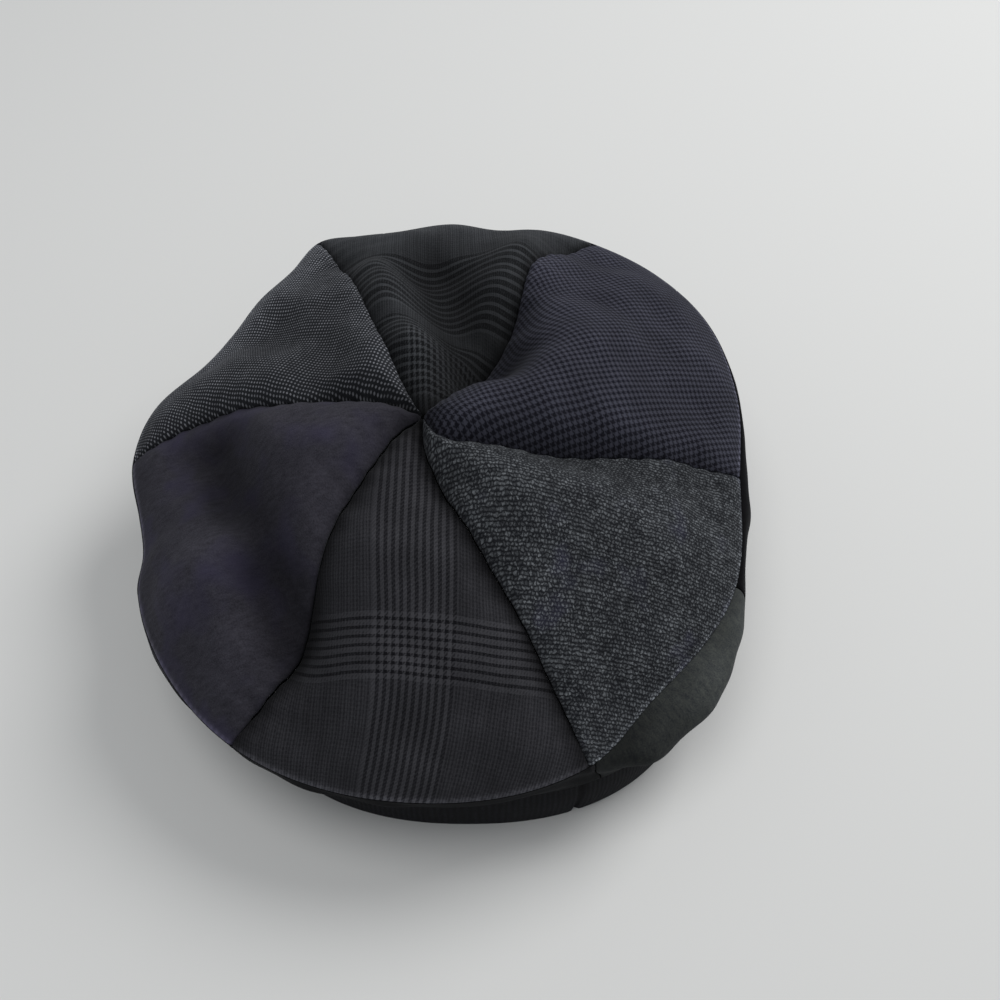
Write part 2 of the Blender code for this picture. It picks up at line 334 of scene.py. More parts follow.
def seam_edge(to_seam, roll_share, lap):
    """How far the cloth sags and turns down near one of its seams, and how painted shade and light change
    its tone.
    """
    over, under = max(lap, 0.0), max(-lap, 0.0)
    sag = nearness(to_seam, SEAM_DIP_WIDTH * roll_share)
    dip = SEAM_DIP * (1 - LAP_DIP * over + TUCK_DIP * under) * sag
    inside = np.clip(1 - to_seam / TURN_WIDTH, 0, 1)
    turn = TURN_DEPTH * (1 + LAP_TURN * over) * (1 - np.sqrt(1 - inside * inside))
    # painted shade and shadow near the seam, and painted light on a raised edge
    painted_near_seam = nearness(to_seam, SEAM_SHADE_WIDTH * roll_share)
    tone = 1 + painted_near_seam * (LAP_LIGHT * over - TUCK_SHADOW * under - SEAM_SHADE)
    return dip, turn, tone


def puckers(reach, to_nearest_seam):
    wander = PUCKER_WANDER * np.sin(reach / PUCKER_WANDER_LENGTH)
    beat = np.sin(2 * math.pi * reach / PUCKER_LENGTH + wander)
    return PUCKER_DEPTH * beat * np.exp(-to_nearest_seam / PUCKER_FADE)


for name, (corner, swings) in SEAMS.items():
    print(name, "seam leaves the hub at", corner + swings[0], "and ends at", corner, "degrees")

# %% [markdown]
# ## Painted light and wear
# Worn wool is never one tone, and shade and light are painted into it here as well. Ridges get
# painted light and valleys painted shade, and the hem, pulled tight over its stitches, shows as a
# thin pale line that is partly wear and partly a painted highlight on its roll. Along the back edge
# a painted glow stands for light from behind, and painted shade darkens the hub, where the seams
# bunch. This could be painted by hand. Here each point gets a number from the distances that shape
# it, and the materials read it, so the shape and its painted light always agree.

# %% Painted light and wear
# painted light on the ridges of the folds and painted shade in their valleys
FOLD_LIGHT_LIFT = 0.0220  # the rise of a fold that would double the tone
FOLD_LIGHT_LOW, FOLD_LIGHT_HIGH = 0.48, 1.20
# a thin pale line on the hem, beaded by its stitches: partly wear, partly a painted highlight on its rolled
# edge
HEM_HIGHLIGHT_AND_WEAR = 3.20
HEM_HIGHLIGHT_AND_WEAR_WIDTH = 0.0011
HEM_STITCH = 0.0032
STITCH_MEAN, STITCH_SWING = 0.7, 0.3
# painted light: a pale glow along the back edge stands for light from behind, over a stretch that lies
# BACKLIT_TURN_DEG round from the left and the right
BACKLIT_GLOW = 0.80
BACKLIT_GLOW_WIDTH = 0.0190
BACKLIT_TURN_DEG = 20  # the faded stretch is this far round from the left and the right
BACKLIT_START, BACKLIT_SPAN = 0.4, 0.4
# painted shade where the seams bunch at the hub
HUB_SHADE = 0.45
HUB_SHADE_WIDTH = 0.0110


def top_painted_light_and_wear(corner, share, reach, folds):
    """How pale the cloth is at each place from painted light, painted shade and wear, where one is its own
    tone.
    """
    to_hem = (1 - share) * CROWN_REACH
    back = ease((np.sin(np.radians(corner - BACKLIT_TURN_DEG)) - BACKLIT_START) / BACKLIT_SPAN)
    beat = np.sin(2 * math.pi * np.radians(corner) * CROWN_REACH / HEM_STITCH)
    # painted light on the ridges, painted shade in the folds
    tone = np.clip(1 + folds / FOLD_LIGHT_LIFT, FOLD_LIGHT_LOW, FOLD_LIGHT_HIGH)
    # the pale hem line, partly wear and partly a painted highlight
    tone = tone * (1 + HEM_HIGHLIGHT_AND_WEAR * (STITCH_MEAN + STITCH_SWING * beat) * nearness(to_hem, HEM_HIGHLIGHT_AND_WEAR_WIDTH))
    # painted glow along the back edge, for light from behind
    tone = tone * (1 + BACKLIT_GLOW * back * nearness(to_hem, BACKLIT_GLOW_WIDTH))
    # painted shade at the hub
    return tone * (1 - HUB_SHADE * nearness(reach, HUB_SHADE_WIDTH))


print("hem stitches are", HEM_STITCH, "m apart")

# %% [markdown]
# ## The top
# A place on the top is found from two shares: how far across its panel, and how far out from the
# hub. The dome, the panel's puff, the folds, the seams and the roll of the edge each add their
# own height, as each step of cutting, sewing and wearing does to a real cap. Sculpting could give
# the same look, but no later change of one size.

# %% The top
def core_way(points):
    """The way out through the cloth, away from a point deep below the hub."""
    core = np.array([HUB[0], HUB[1], -CROWN_HEIGHT * CORE_DEPTH_SHARE])
    return unit(points - core)


def crown_points(gore, across, share):
    """Places on the outer face of the top, their plan direction, and their painted light, painted shade and
    wear.
    """
    _, first_seam, last_seam, puff_share, roll_share, _, lap_first, lap_last = gore
    first, last = seam_directions(first_seam, last_seam, share)
    corner_first, corner_last = seam_directions(first_seam, last_seam, np.ones_like(share))
    direction = first + (last - first) * across
    corner = corner_first + (corner_last - corner_first) * across
    hem_reach, hem = widest_edge(corner)
    reach = hem_reach * share
    x = reach * np.cos(np.radians(direction))
    y = reach * np.sin(np.radians(direction))
    dome = hem + (CROWN_HEIGHT - hem) * (1 - share ** DOME_POWER)
    puff = PUFF * puff_share * np.sin(math.pi * across) * np.sin(math.pi * share ** PUFF_POWER)
    width = np.radians(last - first) * reach
    dip_first, turn_first, tone_first = seam_edge(across * width, roll_share, lap_first)
    dip_last, turn_last, tone_last = seam_edge((1 - across) * width, roll_share, lap_last)
    past_roll = np.clip((share - ROLL_START) / (1 - ROLL_START), 0, None)
    fade = 1 - ease(past_roll)
    sink = np.maximum(dip_first, dip_last) * fade + np.maximum(turn_first, turn_last)
    pucker = puckers(reach, np.minimum(across, 1 - across) * width) * fade
    folds = (fold_lift(x, y) + ripple(x, y)) * fade
    height = dome + puff + folds + pucker - sink - EDGE_ROLL * past_roll ** 2
    # painted light and shade of the folds, seams, hub and back edge, with the hem's wear and highlight
    painted_light_and_wear = top_painted_light_and_wear(corner, share, reach, folds) * tone_first * tone_last
    return stack(HUB[0] + x, HUB[1] + y, height), direction, painted_light_and_wear


middle = crown_points(GORES[0], np.array([0.5]), np.array([0.5]))[0][0]
print("middle of the houndstooth panel", middle.round(4))

# %% [markdown]
# ## The band and the side
# The headband is an oval a little squarer than an ellipse, as a head is. The side starts at the
# widest edge, goes round an upper bend, and runs in and down to the band in one smooth curve. A
# loft between drawn rings would give much the same, with rings to redraw each time.

# %% The band and the side
def band_points(angle, height, grown=0.0):
    """Places on the band, by an angle in radians round its own middle."""
    over, back = np.cos(angle), np.sin(angle)
    x = (BAND_HALF_WIDTH + grown) * np.sign(over) * np.abs(over) ** (2 / OVAL_POWER)
    y = (BAND_HALF_DEPTH + grown) * np.sign(back) * np.abs(back) ** (2 / OVAL_POWER)
    return stack(BAND_X + x, BAND_Y + y, height)


def hem_points(direction):
    """Places on the widest edge, where the top ends and the side begins."""
    reach, height = widest_edge(direction)
    return stack(HUB[0] + reach * np.cos(np.radians(direction)),
                 HUB[1] + reach * np.sin(np.radians(direction)), height - EDGE_ROLL)


def side_points(direction, share):
    """Places on the outer face of the side, from the widest edge in and down to the band."""
    up = np.array([0.0, 0.0, 1.0])
    hem = hem_points(direction)
    level = unit(core_way(hem) * np.array([1, 1, 0]))
    angle = np.arctan2((hem[..., 1] - BAND_Y) / BAND_HALF_DEPTH,
                       (hem[..., 0] - BAND_X) / BAND_HALF_WIDTH)
    foot = band_points(angle, BAND_HEIGHT + FOOT_GAP)
    room = hem[..., 2] - foot[..., 2]
    bulge = (SIDE_BULGE * round_the_cap(SIDE, 1, direction))[..., None]
    drop = np.minimum(SIDE_DROP * round_the_cap(SIDE, 2, direction), room * DROP_ROOM)[..., None]
    turn = (0.5 * math.pi * np.clip(share / BELLY_SHARE, 0, 1))[..., None]
    upper = hem + level * bulge * np.sin(turn) - up * drop * (1 - np.cos(turn))
    t = np.clip((share - BELLY_SHARE) / (1 - BELLY_SHARE), 0, 1)[..., None]
    belly = hem + level * bulge - up * drop
    rise = up * (belly[..., 2:] - foot[..., 2:]) * TURN_SHARE
    lower = (belly * (1 - t) ** 3 + (belly - rise) * 3 * t * (1 - t) ** 2
             + (foot + rise) * 3 * t * t * (1 - t) + foot * t ** 3)
    return np.where(share[..., None] < BELLY_SHARE, upper, lower)


print("side at the front right starts at", hem_points(np.array([320.0]))[0].round(4))

# %% [markdown]
# ## Cloth from a grid
# Each piece is one closed body. A flat grid is made first, its whole skin is extruded, and then
# the outer points go to the places that the shape functions give, and the inner ones a cloth's
# thickness below them. Solidify would make the wall too, but it pinches where two panels meet.
# The flat pattern is kept as a UV map in metres, so that the weave follows the cloth over its
# folds, and the painted light and shade, with the wear, are kept as an attribute.

# %% Grid helper
ROUND_TO = 6  # decimals that tell one point of the flat grid from the next


def into_scene(bm, name):
    mesh = bpy.data.meshes.new(name)
    bm.to_mesh(mesh)
    bm.free()
    piece = bpy.data.objects.new(name, mesh)
    bpy.context.scene.collection.objects.link(piece)
    print(name, len(mesh.polygons), "faces")
    return piece


def cloth_body(name, outer, ways, flat, painted_light_and_wear, thickness=CLOTH):
    """A closed, smooth cloth body from arrays of outer places, ways out and flat places."""
    columns, rows = outer.shape[:2]
    bm = bmesh.new()
    bmesh.ops.create_grid(bm, x_segments=columns - 1, y_segments=rows - 1, size=0.5)
    uv = bm.loops.layers.uv.new("cloth")
    # painted light and shade, with wear, kept for each point for the materials to read
    paleness = bm.verts.layers.float.new("painted_light_and_wear")
    spots = {}
    for vert in bm.verts:
        i = round((vert.co.x + 0.5) * (columns - 1))
        j = round((vert.co.y + 0.5) * (rows - 1))
        spots[vert] = (i, j)
        vert[paleness] = painted_light_and_wear[i, j]
    for face in bm.faces:
        for loop in face.loops:
            loop[uv].uv = flat[spots[loop.vert]]
    outer_verts = list(bm.verts)
    skin = bmesh.ops.extrude_face_region(bm, geom=bm.faces[:], use_keep_orig=True)
    inner_verts = [item for item in skin["geom"] if isinstance(item, bmesh.types.BMVert)]
    # an inner point still lies on its outer one, and so finds its place in the grid
    places = {(round(v.co.x, ROUND_TO), round(v.co.y, ROUND_TO)): spots[v] for v in outer_verts}
    for vert in inner_verts:
        spot = places[(round(vert.co.x, ROUND_TO), round(vert.co.y, ROUND_TO))]
        vert.co = Vector(outer[spot] - ways[spot] * thickness)
    for vert in outer_verts:
        vert.co = Vector(outer[spots[vert]])
    bmesh.ops.recalc_face_normals(bm, faces=bm.faces)
    for face in bm.faces:
        face.smooth = True
    return into_scene(bm, name)


def dress(piece, node, cloth):
    """Give a piece its cloth, and let it stand for its solid."""
    piece.data.materials.append(cloth)
    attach(piece, "root")
    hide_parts(node)


# %% [markdown]
# ## Colours and nodes
# Colours are written as they look on a screen, and one function turns them into the light values
# that a shader needs. Nodes could be wired in the editor. Here one helper adds any node, with its
# settings and links, so that a weave reads as a short list of steps.

# %% Colour and node helpers
CLOTHS = {}


def screen(code):
    """Turn a screen colour such as 2b2a31 into linear light values."""
    parts = [int(code[i:i + 2], 16) / 255 for i in (0, 2, 4)]
    return tuple(c / 12.92 if c <= 0.04045 else ((c + 0.055) / 1.055) ** 2.4 for c in parts) + (1.0,)


def add(tree, kind, *values, sockets=None, out=0, **settings):
    """Add a node and give one of its outputs.

    kind is its type, and for sums its operation too. values go to its first sockets in order, and
    sockets names others. Each is a plain value, or an output to link from.
    """
    kind, *operation = kind.split()
    node = tree.nodes.new("ShaderNode" + kind)
    if operation:
        node.operation = operation[0]
    for option, value in settings.items():
        setattr(node, option, value)
    for socket, value in {**dict(enumerate(values)), **(sockets or {})}.items():
        if isinstance(value, bpy.types.NodeSocket):
            tree.links.new(value, node.inputs[socket])
        else:
            node.inputs[socket].default_value = value
    return node.outputs[out] if node.outputs else None


def new_cloth(name, make):
    material = bpy.data.materials.new(name)
    material.use_nodes = True
    material.node_tree.nodes.clear()
    make(material.node_tree)
    print(name, len(material.node_tree.nodes), "nodes")
    return material


print("near black as light values", [round(part, 4) for part in screen("0e0e11")])

# %% [markdown]
# ## Wool
# All these cloths are wool: matt, with a short fuzz that glows a little where it is seen edge
# on. The fibres scatter light so widely that there is hardly a highlight, hence the high
# roughness and low specular level. A thin sheen stands for the fuzz, and a fine bump for the
# threads. Hair could be grown instead, at far more cost. Use leaves slow light and dark patches.

# %% Wool
FUZZ_MM, FUZZ_HEIGHT = 0.55, 0.9
WEAR_PATCH_MM = 22.0
NOISE_SPAN = (0.3, 0.7)  # noise seldom leaves this span
WHOLE = (0.0, 1.0)
WOOL = {
    "Roughness": 0.95,
    "Sheen Weight": 0.04,
    "Sheen Roughness": 0.45,
    "Sheen Tint": (0.75, 0.78, 0.85, 1.0),
    "Specular IOR Level": 0.10,
}


def clouds(tree, places, size_mm, detail=2.0, low=0.0, high=1.0, span=WHOLE):
    """Soft spots of about a size, whose value runs from low to high over a span of the noise."""
    noise = add(tree, "TexNoise", sockets={"Vector": places, "Scale": 1.0 / size_mm,
                                           "Detail": detail, "Roughness": 0.6})
    return add(tree, "MapRange", noise, *span, low, high, clamp=True)


def dyed(tree, share, low, high):
    """A colour between two others, each a screen colour or one that is made so far."""
    low, high = (screen(dye) if isinstance(dye, str) else dye for dye in (low, high))
    return add(tree, "Mix", share, sockets={6: low, 7: high}, out=2, data_type="RGBA")


def worn_and_painted_light(tree, colour, places, low=0.80, high=1.18):
    """Slow patches of use, times the painted light, painted shade and wear that the shape gave each place.
    """
    patch = clouds(tree, places, WEAR_PATCH_MM, 3.0, low, high, NOISE_SPAN)
    # the painted light, painted shade and wear that each point was given
    painted_light_and_wear = add(tree, "Attribute", attribute_name="painted_light_and_wear", out="Fac")
    gain = add(tree, "Math MULTIPLY", patch, painted_light_and_wear)
    grey = add(tree, "CombineColor", gain, gain, gain)
    return add(tree, "Mix", 1.0, sockets={6: colour, 7: grey}, out=2, data_type="RGBA",
               blend_type="MULTIPLY")


def wool(tree, colour, height, places, relief=0.00012):
    """The finished wool, from its colour and the height of its threads."""
    fuzz = clouds(tree, places, FUZZ_MM, 3.0)
    lift = add(tree, "Math MULTIPLY_ADD", fuzz, FUZZ_HEIGHT, height)
    bump = add(tree, "Bump", sockets={"Height": lift, "Distance": relief, "Strength": 1.0})
    shader = add(tree, "BsdfPrincipled", sockets={"Base Color": colour, "Normal": bump, **WOOL})
    add(tree, "OutputMaterial", sockets={"Surface": shader})


# %% [markdown]
# ## Weaving
# A weave is drawn thread by thread, as a weaver thinks of it. The warp runs along the panel and
# the weft across it. At each crossing a two-and-two twill decides which thread is on top, and the
# cloth shows that thread's tone. Four dark threads and four light ones in both ways give
# houndstooth, and glen plaid changes between bands of that and a finer ground. A picture of the
# cloth would be quicker, but it blurs close up and can't be changed thread by thread.

# %% Weaving
MM_PER_M = 1000.0
DRIFT_PER_M = 28.0  # slow swings of the threads in each metre
DRIFT_REACH = 0.0022
FOUR_THREADS = 4.0
TWILL_REPEAT = 4.0


def cloth_places(tree, turn=0.0):
    """The flat pattern in millimetres, turned by some degrees, and its two lengths by themselves."""
    uv = add(tree, "UVMap", uv_map="cloth")
    # the threads drift slowly, because no real cloth lies dead straight
    drift = add(tree, "TexNoise", sockets={"Vector": uv, "Scale": DRIFT_PER_M, "Detail": 1.0}, out="Color")
    drift = add(tree, "VectorMath SUBTRACT", drift, (0.5, 0.5, 0.5))
    drift = add(tree, "VectorMath SCALE", drift, sockets={"Scale": DRIFT_REACH})
    moved = add(tree, "VectorMath ADD", uv, drift)
    turned = add(tree, "VectorRotate", moved, sockets={"Angle": math.radians(turn)},
                 rotation_type="Z_AXIS")
    places = add(tree, "VectorMath SCALE", turned, sockets={"Scale": MM_PER_M})
    x = add(tree, "SeparateXYZ", places)
    return places, x, x.node.outputs[1]


def thread_number(tree, place, pitch):
    """Which thread a place lies on, counted from the middle line of the panel."""
    count = add(tree, "Math DIVIDE", place, pitch)
    return add(tree, "Math FLOOR", count)


def stripe(tree, thread, run, light=0.5):
    """One for the light threads and nought for the dark, over and over in twice the run."""
    turn = add(tree, "Math DIVIDE", thread, 2.0 * run)
    turn = add(tree, "Math FRACT", turn)
    return add(tree, "Math LESS_THAN", turn, light)


def within(tree, place, low, high):
    """One between two places, and nought outside them."""
    past_low = add(tree, "Math GREATER_THAN", place, low)
    before_high = add(tree, "Math LESS_THAN", place, high)
    return add(tree, "Math MULTIPLY", past_low, before_high)


def twill(tree, warp, weft, warp_tone, weft_tone, both):
    """The tone of the thread on top in a two-and-two twill.

    both is the share in which the two threads show alike, as they are round and the nap blurs them.
    """
    turn = add(tree, "Math ADD", warp, weft)
    turn = add(tree, "Math DIVIDE", turn, TWILL_REPEAT)
    turn = add(tree, "Math FRACT", turn)
    warp_on_top = add(tree, "Math LESS_THAN", turn, 0.5)
    tone = add(tree, "Mix", warp_on_top, sockets={2: weft_tone, 3: warp_tone})
    middle = add(tree, "Math ADD", warp_tone, weft_tone)
    middle = add(tree, "Math MULTIPLY", middle, 0.5)
    return add(tree, "Mix", both, sockets={2: tone, 3: middle})


# %% [markdown]
# ## Glen plaid, front and back
# Two panels are glen plaid, a worsted twill with bands of bold stripes over a ground of fine
# ones. Where two bands cross they make small checks, 2.9 mm apart at the front. Real threads are
# finer than the ground shows here, so that is drawn only as coarse as the eye needs. The cloth
# was cut on a curve and pulled by the hub, so past a place the warp swings aside.

# %% Glen plaid
FINE_WARP_RUN, FINE_WARP_TONES = 1.8, (0.20, 0.72)
FINE_WEFT_RUN, FINE_WEFT_TONES = 1.0, (0.42, 0.51)
PLAID_BOTH = 0.55
ALONE_SHARE, ALONE_TONES = 0.30, (0.05, 0.75)
PLAID_NAP_MM, PLAID_NAP = 0.8, 0.12


def glen_plaid(tree, dark, light, warp_pitch, warp_band, weft_bands, pulled=(0.0, 0.0, 0.0),
               weft_light=0.5):
    """Bands of bold stripes over a finer ground of the same mean tone, all in millimetres.

    warp_band is low, high, out to. A row of weft_bands is low, high, pitch. pulled is how the cloth
    was stretched: the place past which the warp swings, how fast it swings, and the weft's slant.
    weft_light is the share of light threads in the weft's bands.
    """
    places, x, y = cloth_places(tree)
    swing_from, swing, slant = pulled
    past = add(tree, "Math SUBTRACT", y, swing_from)
    past = add(tree, "Math MAXIMUM", past, 0.0)
    past = add(tree, "Math POWER", past, 2.0)
    y = add(tree, "Math MULTIPLY_ADD", x, -slant, y)
    x = add(tree, "Math MULTIPLY_ADD", past, swing, x)
    warp = thread_number(tree, x, warp_pitch)
    weft = thread_number(tree, y, weft_bands[0][2])
    in_reach = add(tree, "Math LESS_THAN", y, warp_band[2])
    in_warp = add(tree, "Math MULTIPLY", within(tree, x, *warp_band[:2]), in_reach)
    in_weft = 0.0
    for low, high, pitch in weft_bands:
        in_band = within(tree, y, low, high)
        in_weft = add(tree, "Math MAXIMUM", in_weft, in_band)
        from_edge = add(tree, "Math SUBTRACT", y, low)
        weft = add(tree, "Mix", in_band, sockets={2: weft, 3: thread_number(tree, from_edge, pitch)})
    fine_warp = add(tree, "MapRange", stripe(tree, warp, FINE_WARP_RUN), *WHOLE, *FINE_WARP_TONES)
    fine_weft = add(tree, "MapRange", stripe(tree, weft, FINE_WEFT_RUN), *WHOLE, *FINE_WEFT_TONES)
    warp_tone = add(tree, "Mix", in_warp, sockets={2: fine_warp, 3: stripe(tree, warp, FOUR_THREADS)})
    weft_tone = add(tree, "Mix", in_weft,
                    sockets={2: fine_weft, 3: stripe(tree, weft, FOUR_THREADS, weft_light)})
    tone = twill(tree, warp, weft, warp_tone, weft_tone, PLAID_BOTH)
    # where a weft band runs alone, its stripes stand out by themselves
    off_warp = add(tree, "Math SUBTRACT", 1.0, in_warp)
    alone = add(tree, "Math MULTIPLY", in_weft, off_warp)
    alone = add(tree, "Math MULTIPLY", alone, ALONE_SHARE)
    bold = add(tree, "MapRange", weft_tone, *WHOLE, *ALONE_TONES)
    tone = add(tree, "Mix", alone, sockets={2: tone, 3: bold})
    nap = clouds(tree, places, PLAID_NAP_MM, 2.0, -PLAID_NAP, PLAID_NAP, NOISE_SPAN)
    tone = add(tree, "Math ADD", tone, nap)
    wool(tree, worn_and_painted_light(tree, dyed(tree, tone, dark, light), places), tone, places)


def front_plaid(tree):
    """Near-black and charcoal threads: from afar it reads as one dark grey with a faint check."""
    glen_plaid(tree, "0e0e12", "3e3e42", 0.366, (-17.57, 14.64, 200.0), [(84.0, 109.5, 0.42)],
               pulled=(95.0, 0.0026, 0.06), weft_light=0.62)


def back_plaid(tree):
    """A little greener and darker, with broad weft stripes that show how the cloth is folded."""
    glen_plaid(tree, "0d0e10", "393b3e", 0.30, (-28.0, 6.0, 42.0),
               [(10.0, 51.0, 0.40), (60.0, 112.0, 0.54)], weft_light=0.37)


CLOTHS["gore_front_plaid"] = new_cloth("worsted_wool_twill_front_plaid", front_plaid)
CLOTHS["gore_back_plaid"] = new_cloth("worsted_wool_twill_back_plaid", back_plaid)

# %% [markdown]
# ## Houndstooth
# The right panel is a worsted twill with four dark and four light threads each way, 2.5 mm from
# tooth to tooth. Small broken teeth could be drawn as shapes, but the twill itself makes them
# once the stripes and the crossings are right.

# %% Houndstooth
TOOTH_THREAD_MM = 0.31
TOOTH_BOTH = 0.4
TOOTH_POWER = 1.3  # darkens the half tones, as worn navy threads do
TOOTH_NAP_MM, TOOTH_NAP = 0.8, 0.15


def houndstooth(tree):
    """Navy and blue-grey threads: the eye sees a cool violet cloth with fine jagged teeth."""
    places, x, y = cloth_places(tree)
    warp, weft = thread_number(tree, x, TOOTH_THREAD_MM), thread_number(tree, y, TOOTH_THREAD_MM)
    tone = twill(tree, warp, weft, stripe(tree, warp, FOUR_THREADS), stripe(tree, weft, FOUR_THREADS),
                 TOOTH_BOTH)
    tone = add(tree, "Math POWER", tone, TOOTH_POWER)
    nap = clouds(tree, places, TOOTH_NAP_MM, 2.0, -TOOTH_NAP, TOOTH_NAP, NOISE_SPAN)
    tone = add(tree, "Math ADD", tone, nap)
    wool(tree, worn_and_painted_light(tree, dyed(tree, tone, "17171f", "41424d"), places), tone, places, relief=0.00016)


CLOTHS["gore_right_houndstooth"] = new_cloth("worsted_wool_twill_houndstooth", houndstooth)

# %% [markdown]
# ## Tweed
# The right front panel is a coarse woollen tweed in salt and pepper, with yarns about 1.6 mm
# thick. Its yarns are uneven and two-toned, so no lump is like the next. A Voronoi pattern gives
# pebbles with no rows at all. Here a grid of lumps is kept, since it is woven, and then each row
# slips, each lump gets its own shade, and some join into dashes where a yarn floats.

# %% Tweed
TWEED_TURN_DEG = 94.0
YARN_MM = 1.60
SHAKE_PER_MM, SHAKE_ALONG, SHAKE_OUT = 0.55, 3.2, 2.4
ROW_SHIFT, ROW_SLIP = 0.5, 0.35
FLOAT_MM, FLOAT_SPAN, FLOAT_SHARES = 14.0, (0.48, 0.72), (0.05, 0.55)
TWEED_PATCH_MM, TWEED_PATCH_SPAN, TWEED_PATCH_TONES = 6.0, (0.35, 0.65), (0.65, 1.05)
FRAY_MM, FRAY_TONES = 0.7, (0.50, 1.20)
LUMP_SPAN, LUMP_TONES = (0.20, 0.90), (0.12, 1.0)
LUMP_HEIGHT = 1.5
SHADES = (0.35, 1.15)
VIOLET_MM, VIOLET_SPAN, VIOLET_SHARE = 24.0, (0.58, 0.74), 0.35


def yarn_arch(tree, place):
    """How high a round yarn stands at a place, from nought to one and back in each repeat."""
    turn = add(tree, "Math FRACT", place)
    turn = add(tree, "Math MULTIPLY", turn, math.pi)
    return add(tree, "Math SINE", turn)


def tweed(tree):
    """Thick grey and near-black yarns: bright uneven specks over black, with a deep relief."""
    places, x, y = cloth_places(tree, TWEED_TURN_DEG)
    shake = add(tree, "TexNoise", sockets={"Vector": places, "Scale": SHAKE_PER_MM, "Detail": 3.0},
                out="Color")
    shake_x = add(tree, "SeparateXYZ", shake)
    x = add(tree, "Math MULTIPLY_ADD", shake_x, SHAKE_ALONG, x)
    y = add(tree, "Math MULTIPLY_ADD", shake_x.node.outputs[1], SHAKE_OUT, y)
    out = add(tree, "Math DIVIDE", y, YARN_MM)
    row = add(tree, "Math FLOOR", out)
    slip = add(tree, "TexWhiteNoise", sockets={"W": row}, noise_dimensions="1D")
    slip = add(tree, "Math MULTIPLY", slip, ROW_SLIP)
    slip = add(tree, "Math MULTIPLY_ADD", row, ROW_SHIFT, slip)
    along = add(tree, "Math DIVIDE", x, YARN_MM)
    along = add(tree, "Math ADD", along, slip)
    lump_place = add(tree, "CombineXYZ", add(tree, "Math FLOOR", along), row)
    shade = add(tree, "TexWhiteNoise", lump_place, noise_dimensions="3D")
    floating = clouds(tree, places, FLOAT_MM, 2.0, *FLOAT_SHARES, FLOAT_SPAN)
    over = add(tree, "Mix", floating, sockets={2: yarn_arch(tree, along), 3: 1.0})
    lump = add(tree, "Math MULTIPLY", over, yarn_arch(tree, out))
    tone = add(tree, "MapRange", lump, *LUMP_SPAN, *LUMP_TONES)
    for gain in (clouds(tree, places, FRAY_MM, 2.0, *FRAY_TONES, NOISE_SPAN),
                 add(tree, "MapRange", shade, *WHOLE, *SHADES),
                 clouds(tree, places, TWEED_PATCH_MM, 3.0, *TWEED_PATCH_TONES, TWEED_PATCH_SPAN)):
        tone = add(tree, "Math MULTIPLY", tone, gain)
    violet = clouds(tree, places, VIOLET_MM, 2.0, 0.0, VIOLET_SHARE, VIOLET_SPAN)
    colour = dyed(tree, violet, dyed(tree, tone, "101116", "6e7276"), "3a3950")
    height = add(tree, "Math MULTIPLY", lump, LUMP_HEIGHT)
    wool(tree, worn_and_painted_light(tree, colour, places, 0.9, 1.1), height, places, relief=0.00022)


CLOTHS["gore_right_tweed"] = new_cloth("woollen_tweed_hopsack_pepper", tweed)

# %% [markdown]
# ## Birdseye
# The left back panel is birdseye: rows of light dots 2.2 mm apart, each row half a step along
# from the last. The weave could be built crossing by crossing, as above. At this size only its
# dots show, and two crossed waves multiplied together put them in just such rows.

# %% Birdseye
EYE_TURN_DEG = -38.0
EYE_MM = 2.2
EYE_SPAN = (0.15, 0.85)
GROUND_MM = 0.7
EYE_PATCH_MM, EYE_PATCH_SPAN, EYE_PATCH_TONES = 4.0, (0.35, 0.65), (0.55, 1.0)


def wave(tree, place, length, operation):
    """A smooth wave of a length along a place, both in the same unit."""
    turn = add(tree, "Math MULTIPLY", place, 2 * math.pi / length)
    return add(tree, "Math " + operation, turn)


def birdseye(tree):
    """Light grey dots on charcoal: small and crisp close to, and a mid grey from afar."""
    places, x, y = cloth_places(tree, EYE_TURN_DEG)
    crossed = add(tree, "Math MULTIPLY", wave(tree, x, EYE_MM, "COSINE"), wave(tree, y, EYE_MM, "COSINE"))
    dots = add(tree, "MapRange", crossed, *EYE_SPAN, *WHOLE)
    ground = dyed(tree, clouds(tree, places, GROUND_MM), "17181b", "2a2c30")
    patch = clouds(tree, places, EYE_PATCH_MM, 2.0, *EYE_PATCH_TONES, EYE_PATCH_SPAN)
    share = add(tree, "Math MULTIPLY", dots, patch)
    wool(tree, worn_and_painted_light(tree, dyed(tree, share, ground, "7e8086"), places), dots, places, relief=0.00015)


CLOTHS["gore_left_birdseye"] = new_cloth("worsted_wool_woven_birdseye", birdseye)

# %% [markdown]
# ## Plain napped cloths
# Flannel is brushed until its weave is hidden under a nap, and the plain side cloths are much
# the same. One flat colour would be the short way, but such a cloth is all in its clouding: its
# fibres lie along the warp, so the clouds are three times as long that way.

# %% Plain napped cloths
NAP_STREAK = 3.0
NAP_CLOUD_MM, NAP_FINE_MM = 1.8, 0.6
DYE_MM, DYE_SPAN, DYE_SHARE = 30.0, (0.48, 0.66), 0.6


